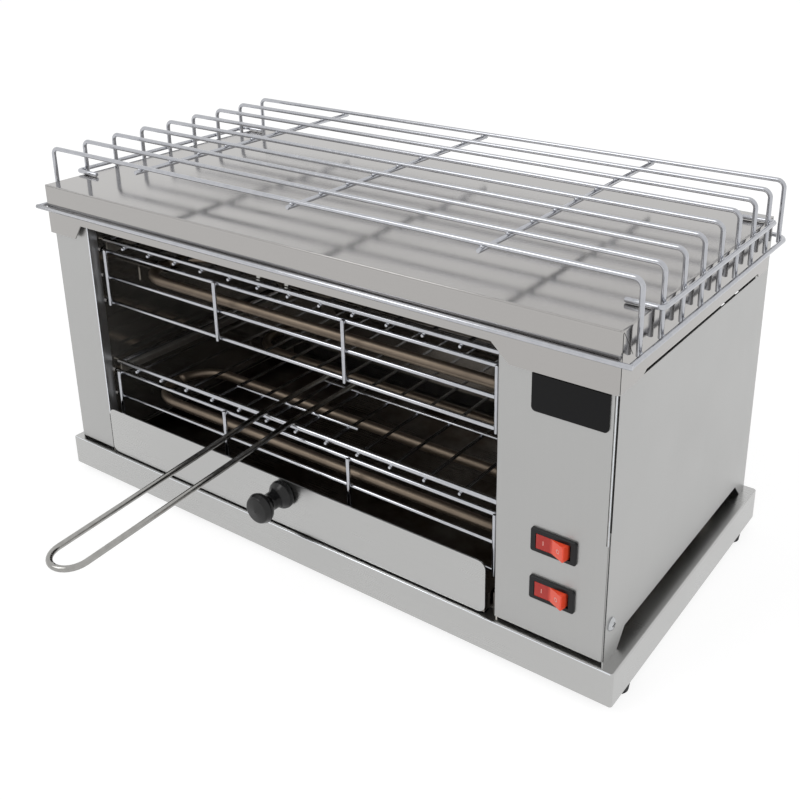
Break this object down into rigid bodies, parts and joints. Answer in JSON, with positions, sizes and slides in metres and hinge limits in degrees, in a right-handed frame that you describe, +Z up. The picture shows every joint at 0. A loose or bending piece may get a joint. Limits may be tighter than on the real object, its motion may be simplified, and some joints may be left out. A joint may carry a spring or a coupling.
{
  "type": "salamander toaster",
  "caption": "Wide stainless salamander toaster with stacked wire grids, crumb tray, rocker switches and a lift-off wire rack on top.",
  "frame": {"origin": "on the table, under the middle of the plinth", "axes": "+X to the right along the length, +Y to the back, +Z up; the front with the switches and the open toasting space faces -Y"},
  "size_m": [0.5216, 0.4481, 0.2893],
  "materials": {
    "satin_stainless": "satin, fine brushed along the sheet",
    "polished_stainless": "polished",
    "bright_stainless": "bright annealed, slightly heat-tinted",
    "black_rubber": "matte",
    "zinc_steel": "zinc plated",
    "brass_parts": "bare",
    "black_enamel": "satin",
    "black_nylon": "fine moulded texture",
    "black_phenolic": "polished moulding",
    "red_polycarbonate": "glossy",
    "chromed_wire": "bright plated",
    "element_sheath": "dull oxidised sheath",
    "white_ceramic": "unglazed",
    "lead_sleeve": "woven heat-proof sleeve"
  },
  "bodies": {
    "casing": {"base_screws": "zinc_steel", "cable_gland": "black_nylon", "ceiling_reflector": "bright_stainless", "ceramic_beads": "white_ceramic", "control_panel": "satin_stainless", "earth_nut": "brass_parts", "earth_stud": "brass_parts", "element_brackets": "zinc_steel", "element_fittings": "zinc_steel", "element_nuts": "zinc_steel", "element_studs": "zinc_steel", "foot_bolts": "zinc_steel", "foot_nuts": "zinc_steel", "gland_dome_nut": "black_nylon", "gland_lock_nut": "black_nylon", "internal_leads": "lead_sleeve", "left_inner_wall": "bright_stainless", "left_side_panel": "satin_stainless", "lower_guard": "chromed_wire", "lower_heating_elements": "element_sheath", "lower_runners": "bright_stainless", "lower_switch_body": "black_nylon", "name_plate": "black_enamel", "panel_screws": "zinc_steel", "plinth": "satin_stainless", "rear_panel": "satin_stainless", "rear_reflector": "bright_stainless", "right_inner_wall": "bright_stainless", "right_side_panel": "satin_stainless", "rubber_feet": "black_rubber", "switch_terminals": "brass_parts", "terminal_block": "white_ceramic", "terminal_screws": "zinc_steel", "top_cover": "polished_stainless", "tray_guides": "bright_stainless", "upper_guard": "chromed_wire", "upper_heating_elements": "element_sheath", "upper_runners": "bright_stainless", "upper_switch_body": "black_nylon"},
    "crumb_tray": {"crumb_tray": "satin_stainless", "tray_knob": "black_phenolic", "tray_knob_screw": "zinc_steel"},
    "lower_grid": {"lower_grid": "chromed_wire", "grid_handle": "chromed_wire"},
    "upper_grid": {"upper_grid": "chromed_wire", "upper_grid_stubs": "chromed_wire"},
    "plate_rack": {"rack_rods_front": "chromed_wire", "rack_rods_middle": "chromed_wire", "rack_rods_rear": "chromed_wire", "rack_cross_rods": "chromed_wire", "rack_loop": "chromed_wire", "rack_side_rails": "chromed_wire"},
    "upper_rocker": {"upper_rocker": "red_polycarbonate"},
    "lower_rocker": {"lower_rocker": "red_polycarbonate"}
  },
  "joints": [
    {"name": "crumb_tray_slide", "type": "slide", "parent": "casing", "child": "crumb_tray", "axis": [0, -1, 0], "range_m": [0, 0.2]},
    {"name": "lower_grid_slide", "type": "slide", "parent": "casing", "child": "lower_grid", "axis": [0, -1, 0], "range_m": [0, 0.15]},
    {"name": "upper_grid_slide", "type": "slide", "parent": "casing", "child": "upper_grid", "axis": [0, -1, 0], "range_m": [0, 0.15]},
    {"name": "plate_rack_lift", "type": "slide", "parent": "casing", "child": "plate_rack", "axis": [0, 0, 1], "range_m": [0, 0.08]},
    {"name": "upper_rocker_pivot", "type": "hinge", "parent": "casing", "child": "upper_rocker", "pos_m": [0.2138, -0.1221, 0.1068], "axis": [0, 0, 1], "range_deg": [0, 24]},
    {"name": "lower_rocker_pivot", "type": "hinge", "parent": "casing", "child": "lower_rocker", "pos_m": [0.2138, -0.1221, 0.0715], "axis": [0, 0, 1], "range_deg": [0, 24]}
  ]
}
